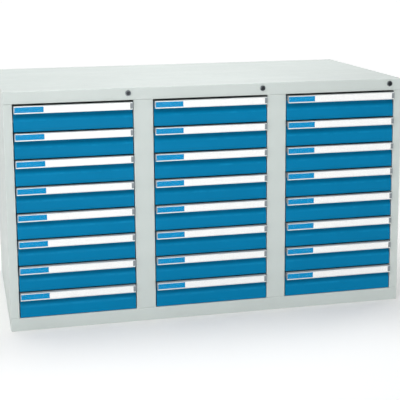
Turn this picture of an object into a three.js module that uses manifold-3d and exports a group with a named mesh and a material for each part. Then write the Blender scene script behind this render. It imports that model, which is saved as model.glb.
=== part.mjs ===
// Sheet-steel drawer cabinet: three columns of eight drawers in one housing.
// Millimetres, +Z up, front facing -Y. The origin is the centre of the whole
// object's footprint, on the surface that it stands on.
import * as THREE from "three";
import { mergeVertices } from "three/addons/utils/BufferGeometryUtils.js";
import Module from "manifold-3d";

const wasm = await Module();
wasm.setup();

// ---- driving dimensions -------------------------------------------------

// Housing
const WIDTH = 1540; // outside, left to right
const DEPTH = 800; // housing face to back
const HEIGHT = 900;
const SHEET = 1.5; // housing sheet
const SEAM = 0.3; // gap between two pieces that rest on each other
const SIDE_T = 33; // double-skinned side, and so the outer stile
const PARTITION_T = 74; // double-skinned partition, and so the middle stile
const BASE_H = 50; // base frame, seen as the bottom rail
const TOP_H = 46; // folded edge of the top cover, seen as the top rail
const FLANGE = 30; // inward flanges of the base frame
const COVER_RETURN = 15; // inward hem under the top cover's edge
const BACK_PAN = 15; // folded rim of the back panel

// Columns and rows
const COLUMNS = ["A", "B", "C"]; // left to right, seen from the front
const ROWS = 8; // 1 at the top
const OPENING = 442; // clear width of one column
const PITCH = 100; // from one drawer to the next
const TOP_GAP = 6; // top cover to the first row line; each drawer hangs from its row line

// Drawer
const FRONT_GAP = 3; // each side of a drawer front
const FRONT_H = 96; // from the row line to the front's foot
const FRONT_TOP = -2; // head of the front, below the row line
const FRONT_PROUD = 2; // drawer front stands out of the housing face
const FRONT_SHEET = 1.5;
const FRONT_FOLD = 18; // depth of the front's folded edges
const RECESS = 8; // the front steps back this far behind the handle rail
const RECESS_FOOT = -54; // below the row line, where it starts to lean back
const RECESS_HEAD = -36; // where it is upright again
const TRAY_SIDE_GAP = 14.5; // opening edge to tray wall, room for the runner
const TRAY_SHEET = 1.2;
const TRAY_TOP = -12; // tray rim below the row line
const TRAY_BOTTOM = -88;
const TRAY_BACK = 740; // behind the housing face
const RUNNER_T = 1.5; // folded runner strip on the tray wall
const RUNNER_TOP = -48.5;
const RUNNER_FOOT = -56;
const RUNNER_FROM = 18;

// Runner ledges inside the housing
const LEDGE_W = 12;
const LEDGE_T = 1.5;
const LEDGE_CLEAR = 0.5; // up and down, to the tray's runner strip
const LEDGE_FROM = 20;
const LEDGE_TO = 745;

// Handle rail, an extruded section clipped to the drawer front
const RAIL_TOP = -1; // below the row line
const RAIL_FOOT = -28;
const RAIL_PROUD = 14; // out of the drawer front
const RAIL_WALL = 1.8;
const RAIL_GAP = 1; // each end, inside the drawer front's width
const LABEL_TOP = -3.2; // label groove, below the row line
const LABEL_FOOT = -24.2;
const LABEL_DEEP = 0.9;

// Locks
const LOCK_IN = 19; // lock centre inside the right edge of the opening
const LOCK_BELOW_TOP = 20;
const LOCK_SOCKET_R = 11;
const LOCK_BORE_R = 8.2;
const LOCK_PLUG_R = 8;
const LOCK_HEAD_R = 9.2;
const LOCK_SOCKET_PROUD = 4;
const LOCK_SOCKET_BACK = 24;
const CAM_REACH = 16.5;

// ---- derived places -----------------------------------------------------

const RAIL_FRONT = -(FRONT_PROUD + RAIL_PROUD);
const MID_Y = (DEPTH + RAIL_FRONT) / 2; // footprint's middle, from the housing face
const OPEN_TOP = HEIGHT - TOP_H;
const FIRST_ROW = OPEN_TOP - TOP_GAP;
const columnX = (c) =>
  -WIDTH / 2 + SIDE_T + OPENING / 2 + c * (OPENING + PARTITION_T);
const rowZ = (r) => FIRST_ROW - r * PITCH;
const partitionX = (p) => columnX(p) + (OPENING + PARTITION_T) / 2;

// ---- materials ----------------------------------------------------------

const material = (color, roughness, metalness) =>
  new THREE.MeshStandardMaterial({ color, roughness, metalness });
const housingGrey = material(0xd2d9d6, 0.45, 0.0);
const frontBlue = material(0x0a78ac, 0.4, 0.0);
const railGrey = material(0xe6ecea, 0.35, 0.2);
const lockMetal = material(0x30343a, 0.35, 0.9);

// ---- helpers ------------------------------------------------------------

// A closed geometry as a solid that can be cut and joined.
function solid(geometry) {
  const bare = geometry.index ? geometry.toNonIndexed() : geometry.clone();
  bare.deleteAttribute("normal");
  bare.deleteAttribute("uv");
  const merged = mergeVertices(bare, 1e-4);
  return new wasm.Manifold(
    new wasm.Mesh({
      numProp: 3,
      vertProperties: merged.attributes.position.array,
      triVerts: new Uint32Array(merged.index.array),
    }),
  );
}

// A solid as a drawable geometry.
function geometryOf(body) {
  const m = body.getMesh();
  const points = new Float32Array(m.numVert * 3);
  for (let i = 0; i < m.numVert; i++)
    points.set(
      m.vertProperties.subarray(i * m.numProp, i * m.numProp + 3),
      i * 3,
    );
  const geometry = new THREE.BufferGeometry()
    .setAttribute("position", new THREE.BufferAttribute(points, 3))
    .setIndex(new THREE.BufferAttribute(new Uint32Array(m.triVerts), 1))
    .toNonIndexed();
  geometry.computeVertexNormals();
  return geometry;
}

// A block between two corners.
function block(x0, x1, y0, y1, z0, z1) {
  const g = new THREE.BoxGeometry(x1 - x0, y1 - y0, z1 - z0);
  g.translate((x0 + x1) / 2, (y0 + y1) / 2, (z0 + z1) / 2);
  return solid(g);
}

// A round bar along Y.
function barY(radius, y0, y1, x, z, segments = 36) {
  const g = new THREE.CylinderGeometry(radius, radius, y1 - y0, segments);
  g.translate(x, (y0 + y1) / 2, 0);
  g.translate(0, 0, z);
  return solid(g);
}

const join = (list) => list.reduce((a, b) => a.add(b));

// The upper and lower ledge of every row, on one wall: x0 to x1 is their width.
function ledges(x0, x1) {
  const list = [];
  for (let r = 0; r < ROWS; r++) {
    const z = rowZ(r);
    const over = z + RUNNER_TOP + LEDGE_CLEAR;
    const under = z + RUNNER_FOOT - LEDGE_CLEAR;
    list.push(block(x0, x1, LEDGE_FROM, LEDGE_TO, over, over + LEDGE_T));
    list.push(block(x0, x1, LEDGE_FROM, LEDGE_TO, under - LEDGE_T, under));
  }
  return list;
}

const object = new THREE.Group();
// Everything below is placed from the housing's front face, y = 0.
const cabinet = new THREE.Group();
cabinet.position.y = -MID_Y;
object.add(cabinet);

function place(parent, name, geometry, look, x = 0, z = 0) {
  const mesh = new THREE.Mesh(geometry, look);
  mesh.name = name;
  mesh.position.set(x, 0, z);
  parent.add(mesh);
  return mesh;
}

// ---- housing ------------------------------------------------------------

const housing = new THREE.Group();
cabinet.add(housing);

const WALL_FOOT = BASE_H + SEAM;
const WALL_HEAD = OPEN_TOP - SEAM;
const half = WIDTH / 2;

// A double-skinned wall, open at its top and foot, with the ledges that carry
// the drawers standing on its inner face or faces.
function wall(thickness, depth, ledgeSides) {
  const h = thickness / 2;
  const shell = block(-h, h, 0, depth, WALL_FOOT, WALL_HEAD).subtract(
    block(
      -h + SHEET,
      h - SHEET,
      SHEET,
      depth - SHEET,
      WALL_FOOT - 5,
      WALL_HEAD + 5,
    ),
  );
  const list = [shell];
  for (const side of ledgeSides)
    list.push(
      ...(side > 0
        ? ledges(h - SHEET / 2, h + LEDGE_W)
        : ledges(-h - LEDGE_W, -h + SHEET / 2)),
    );
  return geometryOf(join(list));
}

place(
  housing,
  "left_side",
  wall(SIDE_T, DEPTH, [1]),
  housingGrey,
  -half + SIDE_T / 2,
);
place(
  housing,
  "right_side",
  wall(SIDE_T, DEPTH, [-1]),
  housingGrey,
  half - SIDE_T / 2,
);

const partition = wall(PARTITION_T, DEPTH - BACK_PAN - SEAM, [-1, 1]);
place(housing, "partition_left", partition, housingGrey, partitionX(0));
place(housing, "partition_right", partition, housingGrey, partitionX(1));

// Back panel: a pan with its rim folded forward, between the two sides.
{
  const x = half - SIDE_T - 0.4;
  const pan = block(
    -x,
    x,
    DEPTH - BACK_PAN,
    DEPTH,
    WALL_FOOT,
    WALL_HEAD,
  ).subtract(
    block(
      -x + SHEET,
      x - SHEET,
      DEPTH - BACK_PAN - 5,
      DEPTH - SHEET,
      WALL_FOOT + SHEET,
      WALL_HEAD - SHEET,
    ),
  );
  place(housing, "back_panel", geometryOf(pan), housingGrey);
}

// Base frame: a ring of folded channel, web outwards.
{
  const ring = block(-half, half, 0, DEPTH, 0, BASE_H)
    .subtract(
      block(
        -half + SHEET,
        half - SHEET,
        SHEET,
        DEPTH - SHEET,
        SHEET,
        BASE_H - SHEET,
      ),
    )
    .subtract(
      block(
        -half + FLANGE,
        half - FLANGE,
        FLANGE,
        DEPTH - FLANGE,
        -5,
        BASE_H + 5,
      ),
    );
  place(housing, "base_frame", geometryOf(ring), housingGrey);
}

// Floor panel, held under the base frame's upper flanges.
{
  const top = BASE_H - SHEET - SEAM;
  const floor = block(
    -half + SHEET + 0.5,
    half - SHEET - 0.5,
    SHEET + 0.5,
    DEPTH - SHEET - 0.5,
    top - SHEET,
    top,
  );
  place(housing, "floor_panel", geometryOf(floor), housingGrey);
}

// Top cover: a lid with four folded edges and a hem, with the three lock
// sockets pressed into its front edge.
const LOCK_Z = HEIGHT - LOCK_BELOW_TOP;
const lockX = (c) => columnX(c) + OPENING / 2 - LOCK_IN;
{
  let lid = block(-half, half, 0, DEPTH, OPEN_TOP, HEIGHT)
    .subtract(
      block(
        -half + SHEET,
        half - SHEET,
        SHEET,
        DEPTH - SHEET,
        OPEN_TOP + SHEET,
        HEIGHT - SHEET,
      ),
    )
    .subtract(
      block(
        -half + COVER_RETURN,
        half - COVER_RETURN,
        COVER_RETURN,
        DEPTH - COVER_RETURN,
        OPEN_TOP - 5,
        OPEN_TOP + 10,
      ),
    );
  for (let c = 0; c < COLUMNS.length; c++)
    lid = lid
      .add(
        barY(
          LOCK_SOCKET_R,
          -LOCK_SOCKET_PROUD,
          LOCK_SOCKET_BACK,
          lockX(c),
          LOCK_Z,
        ),
      )
      .subtract(
        barY(
          LOCK_BORE_R,
          -LOCK_SOCKET_PROUD - 5,
          LOCK_SOCKET_BACK + 5,
          lockX(c),
          LOCK_Z,
        ),
      );
  place(housing, "top_cover", geometryOf(lid), housingGrey);
}

// ---- lock plugs ---------------------------------------------------------

// A plug with a larger head, a key slot, and its cam fixed behind the socket.
// The cam points up, clear of the drawers, and turns right to lock.
const plug = geometryOf(
  join([
    barY(LOCK_PLUG_R, -LOCK_SOCKET_PROUD - 1.5, LOCK_SOCKET_BACK + 2, 0, 0),
    barY(
      LOCK_HEAD_R,
      -LOCK_SOCKET_PROUD - 2.5,
      -LOCK_SOCKET_PROUD - SEAM,
      0,
      0,
    ),
    block(-5, 5, LOCK_SOCKET_BACK + 1, LOCK_SOCKET_BACK + 3.5, -6, CAM_REACH),
  ]).subtract(
    block(-0.8, 0.8, -LOCK_SOCKET_PROUD - 5, -LOCK_SOCKET_PROUD + 2, -4, 4),
  ),
);
const locks = new THREE.Group();
cabinet.add(locks);
COLUMNS.forEach((letter, c) =>
  place(locks, "lock_" + letter, plug, lockMetal, lockX(c), LOCK_Z),
);

// ---- drawers ------------------------------------------------------------

// Both are made about the middle of the opening (x), the housing face (y) and
// the row line (z).
const frontHalf = OPENING / 2 - FRONT_GAP;
const trayHalf = OPENING / 2 - TRAY_SIDE_GAP;
const FACE = -FRONT_PROUD;
const FOLD_TO = FACE + FRONT_FOLD;

// A section drawn in (y, z) as a bar along x, from -length / 2 to length / 2.
function barX(section, length) {
  const shape = new THREE.Shape(
    section.map(([y, z]) => new THREE.Vector2(y, z)),
  );
  const g = new THREE.ExtrudeGeometry(shape, {
    depth: length,
    bevelEnabled: false,
  });
  // shape x to y, shape y to z, extrusion to x
  g.applyMatrix4(
    new THREE.Matrix4().set(0, 0, 1, 0, 1, 0, 0, 0, 0, 1, 0, 0, 0, 0, 0, 1),
  );
  g.translate(-length / 2, 0, 0);
  return solid(g);
}

// The folded front: upright at its foot, leaning back under the handle rail to
// make room for the fingers, and upright again behind the rail.
const frontSection = (t, back) => [
  [back, -FRONT_H + t],
  [back, FRONT_TOP - t],
  [FACE + RECESS + t, FRONT_TOP - t],
  [FACE + RECESS + t, RECESS_HEAD],
  [FACE + t, RECESS_FOOT],
  [FACE + t, -FRONT_H + t],
];
const frontPan = barX(frontSection(0, FOLD_TO), 2 * frontHalf).subtract(
  barX(frontSection(FRONT_SHEET, FOLD_TO + 5), 2 * (frontHalf - FRONT_SHEET)),
);
const inner = trayHalf - TRAY_SHEET;
const tray = block(
  -trayHalf,
  trayHalf,
  FACE + FRONT_SHEET / 2,
  TRAY_BACK,
  TRAY_BOTTOM,
  TRAY_TOP,
)
  // the well
  .subtract(
    block(
      -inner,
      inner,
      FOLD_TO - 0.5,
      TRAY_BACK - TRAY_SHEET,
      TRAY_BOTTOM + TRAY_SHEET,
      TRAY_TOP + 5,
    ),
  )
  // the hollow between the drawer front and the tray's own front wall
  .subtract(
    block(
      -inner,
      inner,
      FACE + FRONT_SHEET,
      FOLD_TO - 0.5 - TRAY_SHEET,
      TRAY_BOTTOM + TRAY_SHEET,
      TRAY_TOP + 5,
    ),
  )
  // the tray's walls end inside the folded front
  .subtract(
    barX(
      [
        [-60, -FRONT_H - 20],
        [FACE + FRONT_SHEET / 2, -FRONT_H - 20],
        [FACE + FRONT_SHEET / 2, RECESS_FOOT],
        [FACE + RECESS + FRONT_SHEET / 2, RECESS_HEAD],
        [FACE + RECESS + FRONT_SHEET / 2, 20],
        [-60, 20],
      ],
      3 * trayHalf,
    ),
  );
const strips = [-1, 1].flatMap((s) => {
  const flat = [s * (trayHalf - TRAY_SHEET / 2), s * frontHalf];
  const lip = [s * (frontHalf - RUNNER_T), s * frontHalf];
  return [
    block(
      Math.min(...flat),
      Math.max(...flat),
      RUNNER_FROM,
      TRAY_BACK,
      RUNNER_TOP - RUNNER_T,
      RUNNER_TOP,
    ),
    block(
      Math.min(...lip),
      Math.max(...lip),
      RUNNER_FROM,
      TRAY_BACK,
      RUNNER_FOOT,
      RUNNER_TOP,
    ),
  ];
});
const drawer = geometryOf(join([frontPan, tray, ...strips]));

// Handle rail: a hook section whose back lies on the recessed head of the front.
const railBack = FACE + RECESS - SEAM;
const railOuter = RAIL_FRONT;
const railInner = railOuter + LABEL_DEEP + RAIL_WALL;
const section = [
  [railBack, -18],
  [railBack, RAIL_TOP],
  [railOuter + 1.6, RAIL_TOP],
  [railOuter + 0.5, RAIL_TOP - 0.5],
  [railOuter, RAIL_TOP - 1.6],
  [railOuter, LABEL_TOP],
  [railOuter + LABEL_DEEP, LABEL_TOP],
  [railOuter + LABEL_DEEP, LABEL_FOOT],
  [railOuter, LABEL_FOOT],
  [railOuter, RAIL_FOOT + 1.6],
  [railOuter + 0.5, RAIL_FOOT + 0.5],
  [railOuter + 1.6, RAIL_FOOT],
  [railInner + 1.6, RAIL_FOOT],
  [railInner + 1.6, RAIL_FOOT + 1.5],
  [railInner, RAIL_FOOT + 1.5],
  [railInner, RAIL_TOP - RAIL_WALL],
  [railBack - 1.2, RAIL_TOP - RAIL_WALL],
  [railBack - 1.2, -18],
];
const rail = geometryOf(barX(section, 2 * (frontHalf - RAIL_GAP)));

COLUMNS.forEach((letter, c) => {
  const column = new THREE.Group();
  column.position.x = columnX(c);
  cabinet.add(column);
  for (let r = 0; r < ROWS; r++) {
    const row = new THREE.Group();
    row.position.z = rowZ(r);
    column.add(row);
    place(row, "drawer_" + letter + (r + 1), drawer, frontBlue);
    place(row, "handle_rail_" + letter + (r + 1), rail, railGrey);
  }
});

export default object;
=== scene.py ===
import math

import bmesh
import bpy
from mathutils import Matrix, Vector


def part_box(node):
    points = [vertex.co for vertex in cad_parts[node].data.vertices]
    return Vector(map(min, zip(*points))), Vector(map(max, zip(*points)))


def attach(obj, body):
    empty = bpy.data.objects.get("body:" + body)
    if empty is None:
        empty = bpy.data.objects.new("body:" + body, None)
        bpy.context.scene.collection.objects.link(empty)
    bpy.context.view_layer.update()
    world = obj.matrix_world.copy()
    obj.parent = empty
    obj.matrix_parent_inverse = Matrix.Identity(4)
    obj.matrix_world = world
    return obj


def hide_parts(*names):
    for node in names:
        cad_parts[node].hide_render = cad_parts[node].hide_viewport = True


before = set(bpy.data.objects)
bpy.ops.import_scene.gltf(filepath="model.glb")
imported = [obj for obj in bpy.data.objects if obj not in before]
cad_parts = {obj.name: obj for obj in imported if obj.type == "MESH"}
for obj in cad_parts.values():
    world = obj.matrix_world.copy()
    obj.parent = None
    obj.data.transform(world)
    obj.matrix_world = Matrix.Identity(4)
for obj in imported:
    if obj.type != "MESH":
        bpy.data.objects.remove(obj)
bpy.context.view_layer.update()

# ---------------------------------------------------------------- dimensions
# Millimetres. x from the middle, y from the housing's front face (back is
# positive), z from the floor. They repeat the frame's own sizes.
MID_Y = 392.0
HALF, DEPTH, HEIGHT = 770.0, 800.0, 900.0
SIDE_T, PARTITION_T, OPENING, PITCH = 33.0, 74.0, 442.0, 100.0
BASE_H, TOP_H = 50.0, 46.0
OPEN_TOP = HEIGHT - TOP_H
FIRST_ROW = OPEN_TOP - 6.0
FRONT_HALF, TRAY_HALF = 218.0, 206.5
COLUMNS = "ABC"
column_x = [-516.0, 0.0, 516.0]
row_z = [FIRST_ROW - PITCH * r for r in range(8)]
lock_x = [x + 202.0 for x in column_x]
LOCK_Z = 880.0
partition_x = [-258.0, 258.0]

scene = bpy.context.scene


def place(x=0.0, y=0.0, z=0.0):
    return Vector((x * 0.001, (y - MID_Y) * 0.001, z * 0.001))


# ---------------------------------------------------------------- node helper
class Nodes:
    """A material's node tree, built a node at a time."""

    def __init__(self, name):
        self.material = bpy.data.materials.new(name)
        self.material.use_nodes = True
        self.tree = self.material.node_tree
        self.tree.nodes.clear()
        self.out = self.add("ShaderNodeOutputMaterial")
        self.bsdf = self.add("ShaderNodeBsdfPrincipled")
        self.link(self.bsdf, "BSDF", self.out, "Surface")
        self.coord = self.add("ShaderNodeTexCoord")
        self.info = self.add("ShaderNodeObjectInfo")

    def add(self, kind, **values):
        node = self.tree.nodes.new(kind)
        for k, v in values.items():
            setattr(node, k, v)
        return node

    def link(self, a, out, b, into):
        self.tree.links.new(a.outputs[out], b.inputs[into])

    def set(self, **values):
        for k, v in values.items():
            self.bsdf.inputs[k.replace("_", " ")].default_value = v

    def mapping(self, scale, per_object=0.0):
        """Object coordinates, scaled, and moved by each object's own random number."""
        m = self.add("ShaderNodeMapping")
        m.inputs["Scale"].default_value = scale
        self.link(self.coord, "Object", m, "Vector")
        if per_object:
            v = self.add("ShaderNodeVectorMath", operation="SCALE")
            v.inputs[0].default_value = (per_object, per_object * 0.7, per_object * 0.4)
            self.link(self.info, "Random", v, "Scale")
            a = self.add("ShaderNodeVectorMath", operation="ADD")
            self.link(m, "Vector", a, 0)
            self.link(v, "Vector", a, 1)
            return a
        return m

    def noise(self, scale, detail=3.0, rough=0.5, stretch=(1, 1, 1), per_object=0.0):
        m = self.mapping(stretch, per_object)
        n = self.add("ShaderNodeTexNoise")
        n.inputs["Scale"].default_value = scale
        n.inputs["Detail"].default_value = detail
        n.inputs["Roughness"].default_value = rough
        self.link(m, "Vector", n, "Vector")
        return n

    def ramp(self, node, out, lo, hi, a=0.0, b=1.0):
        """Maps lo..hi of an output to a..b, held at the ends."""
        r = self.add("ShaderNodeMapRange")
        for k, v in zip(("From Min", "From Max", "To Min", "To Max"), (lo, hi, a, b)):
            r.inputs[k].default_value = v
        self.link(node, out, r, "Value")
        return r

    def math(self, op, a, b):
        m = self.add("ShaderNodeMath", operation=op)
        for i, v in enumerate((a, b)):
            if isinstance(v, tuple):
                self.link(v[0], v[1], m, i)
            else:
                m.inputs[i].default_value = v
        return m

    def mix(self, factor, a, b, blend="MIX"):
        """A colour mix; a, b and factor are values or (node, output)."""
        m = self.add("ShaderNodeMix", data_type="RGBA", blend_type=blend)
        ins = {i.identifier: i for i in m.inputs}
        for key, v in (("Factor_Float", factor), ("A_Color", a), ("B_Color", b)):
            if isinstance(v, tuple) and isinstance(v[0], bpy.types.Node):
                self.tree.links.new(v[0].outputs[v[1]], ins[key])
            elif key == "Factor_Float":
                ins[key].default_value = v
            else:
                ins[key].default_value = (*v, 1.0)
        return m, [o.identifier for o in m.outputs].index("Result_Color")

    def link_mix(self, mixed, into):
        self.tree.links.new(mixed[0].outputs[mixed[1]], self.bsdf.inputs[into])

    def bump(self, height, out, strength, distance, normal=None):
        b = self.add("ShaderNodeBump")
        b.inputs["Strength"].default_value = strength
        b.inputs["Distance"].default_value = distance
        self.link(height, out, b, "Height")
        if normal is not None:
            self.link(normal, "Normal", b, "Normal")
        return b


def M(mixed):
    """A mix as a value for another mix."""
    return (mixed[0], mixed[1])


def srgb(r, g, b):
    return tuple(
        c / 12.92 if c <= 0.04045 else ((c + 0.055) / 1.055) ** 2.4
        for c in (r / 255, g / 255, b / 255)
    )


def paint(
    name,
    colour,
    rough,
    specular,
    per_object=0.0,
    tone=0.02,
    wear=(0.75, 0.77, 0.77),
    wear_amount=0.35,
    peel=0.3,
    tint=(1.0, 1.0, 1.0),
):
    """Sprayed and baked sheet-steel paint: a slow drift in tone, orange peel, faint wipe marks, paint that is thinner
    and lighter along the folds, and painted shade in the finger hollow where the mesh is marked grip.
    """
    n = Nodes(name)
    n.set(Metallic=0.0, Specular_IOR_Level=specular, Specular_Tint=(*tint, 1.0))
    drift = n.noise(2.2, 3.0, 0.55, per_object=7.0)
    fine = n.noise(46.0, 4.0, 0.6, per_object=11.0)
    dark = tuple(c * (1 - 2.2 * tone) for c in colour)
    light = tuple(min(1.0, c * (1 + 1.6 * tone)) for c in colour)
    d = n.ramp(drift, "Fac", 0.3, 0.7)
    base = n.mix((d, "Result"), dark, light)
    f = n.ramp(fine, "Fac", 0.35, 0.75, 0.0, 0.16)
    base = n.mix((f, "Result"), M(base), tuple(c * 0.93 for c in colour))
    if per_object:
        own = n.ramp(n.info, "Random", 0.0, 1.0, 0.0, 0.10)
        base = n.mix((own, "Result"), M(base), tuple(c * 0.8 for c in colour))
    # the folds: only faces marked as a bend
    bend = n.add("ShaderNodeAttribute", attribute_name="bend")
    rub = n.noise(60.0, 5.0, 0.65, stretch=(0.35, 0.35, 0.35), per_object=3.0)
    r = n.ramp(rub, "Fac", 0.42, 0.68, 0.15, 1.0)
    worn = n.math("MULTIPLY", (bend, "Fac"), (r, "Result"))
    worn = n.math("MULTIPLY", (worn, "Value"), wear_amount)
    base = n.mix((worn, "Value"), M(base), wear)
    # painted shade: where the mesh is marked grip, the colour is darkened towards a fifth of itself and blotched by a
    # noise, standing in for the handle rail's shadow in the hollow
    grip = n.add("ShaderNodeAttribute", attribute_name="grip")
    grip_shade_noise = n.noise(30.0, 3.0, 0.6, stretch=(0.4, 1.0, 1.0), per_object=4.0)
    s = n.ramp(grip_shade_noise, "Fac", 0.3, 0.7, 0.34, 0.46)
    grip_shade = n.math("MULTIPLY", (grip, "Fac"), (s, "Result"))
    base = n.mix((grip_shade, "Value"), M(base), tuple(c * 0.2 for c in colour))
    n.link_mix(base, "Base Color")
    # gloss: wipe marks in one direction, over fine speckle
    wipe = n.noise(9.0, 4.0, 0.6, stretch=(0.35, 1.0, 2.6), per_object=5.0)
    w = n.ramp(wipe, "Fac", 0.25, 0.75, rough - 0.07, rough + 0.08)
    speck = n.ramp(fine, "Fac", 0.3, 0.8, -0.03, 0.05)
    total = n.math("ADD", (w, "Result"), (speck, "Result"))
    n.link(total, "Value", n.bsdf, "Roughness")
    peel_noise = n.noise(520.0, 2.0, 0.5)
    slow = n.noise(150.0, 2.0, 0.5)
    b1 = n.bump(slow, "Fac", peel * 0.5, 0.0004)
    b2 = n.bump(peel_noise, "Fac", peel, 0.0002, b1)
    n.link(b2, "Normal", n.bsdf, "Normal")
    return n.material


def extruded(name, colour, rough, metallic):
    """Anodised aluminium: hair-fine lines along its length and slow cloudiness."""
    n = Nodes(name)
    n.set(Metallic=metallic, Specular_IOR_Level=0.4, Anisotropic=0.35)
    lines = n.noise(240.0, 3.0, 0.6, stretch=(0.012, 1.0, 1.0), per_object=9.0)
    cloud = n.noise(5.0, 3.0, 0.5, per_object=6.0)
    l = n.ramp(lines, "Fac", 0.3, 0.7)
    base = n.mix((l, "Result"), tuple(c * 0.94 for c in colour), tuple(min(1, c * 1.03) for c in colour))
    c = n.ramp(cloud, "Fac", 0.35, 0.7, 0.0, 0.3)
    base = n.mix((c, "Result"), M(base), tuple(v * 0.93 for v in colour))
    bend = n.add("ShaderNodeAttribute", attribute_name="bend")
    edge = n.math("MULTIPLY", (bend, "Fac"), 0.3)
    base = n.mix((edge, "Value"), M(base), tuple(min(1, v * 1.12) for v in colour))
    n.link_mix(base, "Base Color")
    r = n.ramp(lines, "Fac", 0.25, 0.75, rough - 0.06, rough + 0.08)
    n.link(r, "Result", n.bsdf, "Roughness")
    b = n.bump(lines, "Fac", 0.12, 0.0002)
    n.link(b, "Normal", n.bsdf, "Normal")
    return n.material


def card(name, colour, tone=0.03, tint=(1.0, 1.0, 1.0)):
    """Printed card: paper fibre, a slightly uneven ink, matt."""
    n = Nodes(name)
    n.set(Metallic=0.0, Specular_IOR_Level=0.2, Specular_Tint=(*tint, 1.0))
    fibre = n.noise(420.0, 4.0, 0.7, stretch=(0.35, 1.0, 1.0), per_object=8.0)
    ink = n.noise(26.0, 3.0, 0.5, per_object=4.0)
    f = n.ramp(fibre, "Fac", 0.3, 0.7)
    base = n.mix((f, "Result"), tuple(c * (1 - tone) for c in colour), tuple(min(1, c * (1 + tone * 0.5)) for c in colour))
    i = n.ramp(ink, "Fac", 0.3, 0.75, 0.0, 0.35)
    base = n.mix((i, "Result"), M(base), tuple(c * (1 - tone * 1.5) for c in colour))
    n.link_mix(base, "Base Color")
    r = n.ramp(fibre, "Fac", 0.2, 0.8, 0.62, 0.8)
    n.link(r, "Result", n.bsdf, "Roughness")
    b = n.bump(fibre, "Fac", 0.1, 0.0001)
    n.link(b, "Normal", n.bsdf, "Normal")
    return n.material


def clear(name):
    """A clear PVC strip: nearly all see-through, with its gloss and faint scuffs."""
    n = Nodes(name)
    n.set(Metallic=0.0, Specular_IOR_Level=0.55, Alpha=0.035)
    scuff = n.noise(70.0, 4.0, 0.6, stretch=(0.2, 1.0, 1.0), per_object=8.0)
    base = n.mix((scuff, "Fac"), (0.10, 0.13, 0.15), (0.18, 0.22, 0.25))
    n.link_mix(base, "Base Color")
    r = n.ramp(scuff, "Fac", 0.35, 0.75, 0.12, 0.26)
    n.link(r, "Result", n.bsdf, "Roughness")
    wave = n.noise(14.0, 2.0, 0.5, stretch=(0.3, 1.0, 1.0), per_object=2.0)
    b = n.bump(wave, "Fac", 0.08, 0.0006)
    n.link(b, "Normal", n.bsdf, "Normal")
    return n.material


def moulded(name, colour, rough=0.5, tone=0.06):
    """Moulded plastic: fine spark-eroded grain and slight flow marks."""
    n = Nodes(name)
    n.set(Metallic=0.0, Specular_IOR_Level=0.4)
    grain = n.noise(900.0, 2.0, 0.5)
    flow = n.noise(60.0, 3.0, 0.6, stretch=(1.0, 1.0, 0.3), per_object=6.0)
    f = n.ramp(flow, "Fac", 0.3, 0.7)
    base = n.mix((f, "Result"), tuple(c * (1 - tone) for c in colour), tuple(min(1, c * (1 + tone)) for c in colour))
    bend = n.add("ShaderNodeAttribute", attribute_name="bend")
    edge = n.math("MULTIPLY", (bend, "Fac"), 0.25)
    base = n.mix((edge, "Value"), M(base), tuple(min(1, v * 1.35) for v in colour))
    n.link_mix(base, "Base Color")
    r = n.ramp(grain, "Fac", 0.3, 0.7, rough - 0.06, rough + 0.1)
    n.link(r, "Result", n.bsdf, "Roughness")
    b = n.bump(grain, "Fac", 0.18, 0.00008)
    n.link(b, "Normal", n.bsdf, "Normal")
    return n.material


def metal(name, colour, rough, spangle=0.0, turned=0.0):
    """Bare or plated metal: micro-scratches, and zinc spangle where asked."""
    n = Nodes(name)
    n.set(Metallic=1.0, Anisotropic=turned)
    fine = n.noise(300.0, 4.0, 0.65, stretch=(1.0, 0.15, 1.0), per_object=5.0)
    cloud = n.noise(24.0, 4.0, 0.6, per_object=9.0)
    f = n.ramp(cloud, "Fac", 0.3, 0.7)
    base = n.mix((f, "Result"), tuple(c * 0.88 for c in colour), tuple(min(1, c * 1.06) for c in colour))
    if spangle:
        v = n.add("ShaderNodeTexVoronoi")
        v.inputs["Scale"].default_value = 130.0
        n.link(n.mapping((1, 1, 1)), "Vector", v, "Vector")
        s = n.ramp(v, "Distance", 0.0, 0.7, 0.0, spangle)
        base = n.mix((s, "Result"), M(base), tuple(c * 0.72 for c in colour))
    bend = n.add("ShaderNodeAttribute", attribute_name="bend")
    edge = n.math("MULTIPLY", (bend, "Fac"), 0.4)
    base = n.mix((edge, "Value"), M(base), tuple(min(1, v * 1.25) for v in colour))
    n.link_mix(base, "Base Color")
    r = n.ramp(fine, "Fac", 0.25, 0.75, max(0.05, rough - 0.08), rough + 0.1)
    n.link(r, "Result", n.bsdf, "Roughness")
    b = n.bump(fine, "Fac", 0.1, 0.0001)
    n.link(b, "Normal", n.bsdf, "Normal")
    return n.material


GREY = srgb(193, 201, 198)
BLUE = srgb(0, 115, 161)
housing_paint = paint("housing_paint", GREY, 0.42, 0.35, tone=0.015, wear=srgb(224, 228, 226), wear_amount=0.4, peel=0.5)
blue_paint = paint("blue_paint", BLUE, 0.4, 0.2, tint=(0.2, 0.72, 1.0), per_object=1.0, tone=0.03, wear=srgb(20, 142, 194), wear_amount=0.35)
tray_paint = paint("tray_paint", srgb(176, 183, 181), 0.46, 0.3, per_object=1.0, tone=0.02, wear=srgb(205, 210, 208), wear_amount=0.3)
inner_paint = paint("inner_paint", srgb(188, 194, 192), 0.5, 0.3, tone=0.02, wear=srgb(205, 210, 208))
rail_metal = extruded("rail_metal", srgb(226, 231, 230), 0.34, 0.25)
card_white = card("card_white", srgb(252, 252, 251), 0.012)
card_blue = card("card_blue", srgb(0, 143, 201), 0.05, tint=(0.15, 0.75, 1.0))
window_clear = clear("window_clear")
cap_plastic = moulded("cap_plastic", srgb(128, 135, 139))
nylon = moulded("nylon", srgb(214, 212, 204), 0.42, 0.04)
zinc = metal("zinc", srgb(176, 180, 184), 0.36, spangle=0.5)
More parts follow.
